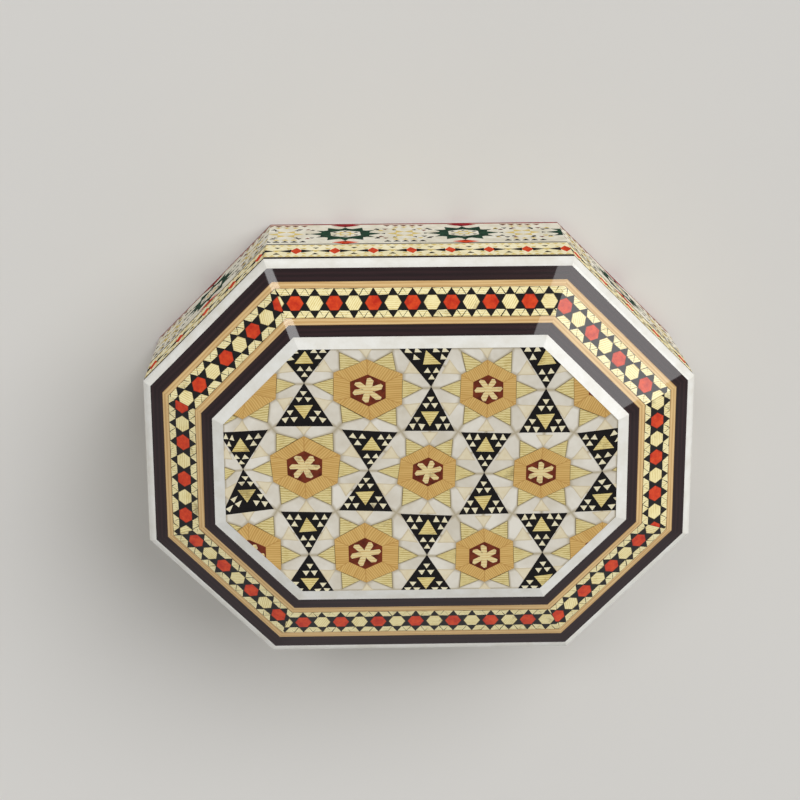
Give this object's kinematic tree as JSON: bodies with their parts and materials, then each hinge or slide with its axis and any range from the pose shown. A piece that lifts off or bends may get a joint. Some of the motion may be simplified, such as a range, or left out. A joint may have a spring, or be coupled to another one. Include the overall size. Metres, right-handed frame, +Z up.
{
  "type": "inlaid wooden box",
  "caption": "Small eight-sided hinged wooden box faced with star mosaic of bone, wood and brass, with a sloping bordered lid and a lined inside.",
  "frame": {"origin": "centre of the underside of the base", "axes": "+X along the long side, -Y towards the opening front, +Y towards the hinges, +Z up through the lid"},
  "size_m": [0.12, 0.09, 0.048],
  "materials": {
    "core_wood": "oiled plain wood",
    "side_khatam": "lacquered mosaic of bone, dyed wood and brass slices",
    "bone": "polished bone under clear lacquer",
    "dark_wood": "near-black wood under clear lacquer",
    "black_wood": "black wood under clear lacquer",
    "tan_wood": "pale wood line under clear lacquer",
    "ochre_wood": "golden wood under clear lacquer",
    "dark_red_wood": "dark red dyed wood under clear lacquer",
    "red_wood": "orange-red dyed wood under clear lacquer",
    "brass": "sawn brass under clear lacquer",
    "hinge_brass": "satin rolled brass",
    "lining_cloth": "short-pile cloth"
  },
  "bodies": {
    "base": {"base_bottom_board": "core_wood", "base_floor_lining": "lining_cloth", "base_wall_lining": "lining_cloth", "base_wall_front": "core_wood", "base_wall_front_right": "core_wood", "base_wall_right": "core_wood", "base_wall_back_right": "core_wood", "base_wall_back": "core_wood", "base_wall_back_left": "core_wood", "base_wall_left": "core_wood", "base_wall_front_left": "core_wood", "base_khatam_front": "side_khatam", "base_khatam_front_right": "side_khatam", "base_khatam_right": "side_khatam", "base_khatam_back_right": "side_khatam", "base_khatam_back": "side_khatam", "base_khatam_back_left": "side_khatam", "base_khatam_left": "side_khatam", "base_khatam_front_left": "side_khatam", "hinge_base_leaf_left": "hinge_brass", "hinge_base_leaf_right": "hinge_brass", "hinge_pin_left": "hinge_brass", "hinge_pin_right": "hinge_brass", "hinge_base_nails": "hinge_brass"},
    "lid": {"lid_board": "core_wood", "lid_rail_front": "core_wood", "lid_rail_front_right": "core_wood", "lid_rail_right": "core_wood", "lid_rail_back_right": "core_wood", "lid_rail_back": "core_wood", "lid_rail_back_left": "core_wood", "lid_rail_left": "core_wood", "lid_rail_front_left": "core_wood", "lid_side_khatam": "side_khatam", "lid_side_dark_line": "dark_wood", "lid_bone_bead": "bone", "lid_outer_dark_strip": "dark_wood", "lid_outer_tan_line": "tan_wood", "lid_khatam_ground": "black_wood", "lid_khatam_red_hexagons": "red_wood", "lid_khatam_brass_hexagons": "brass", "lid_inner_tan_line": "tan_wood", "lid_inner_dark_strip": "dark_wood", "lid_inner_bone_line": "bone", "panel_bone_petals": "bone", "panel_ochre_hexagons": "ochre_wood", "panel_dark_red_hearts": "dark_red_wood", "panel_brass_points": "brass", "panel_black_triangles": "black_wood", "panel_tan_wedges": "tan_wood", "lid_wall_lining": "lining_cloth", "lid_top_lining": "lining_cloth", "hinge_lid_leaf_left": "hinge_brass", "hinge_lid_leaf_right": "hinge_brass", "hinge_lid_nails": "hinge_brass"}
  },
  "joints": [
    {"name": "lid_hinge", "type": "hinge", "parent": "base", "child": "lid", "pos_m": [0, 0.04325, 0.0237], "axis": [-1, 0, 0], "range_deg": [0, 100]}
  ]
}
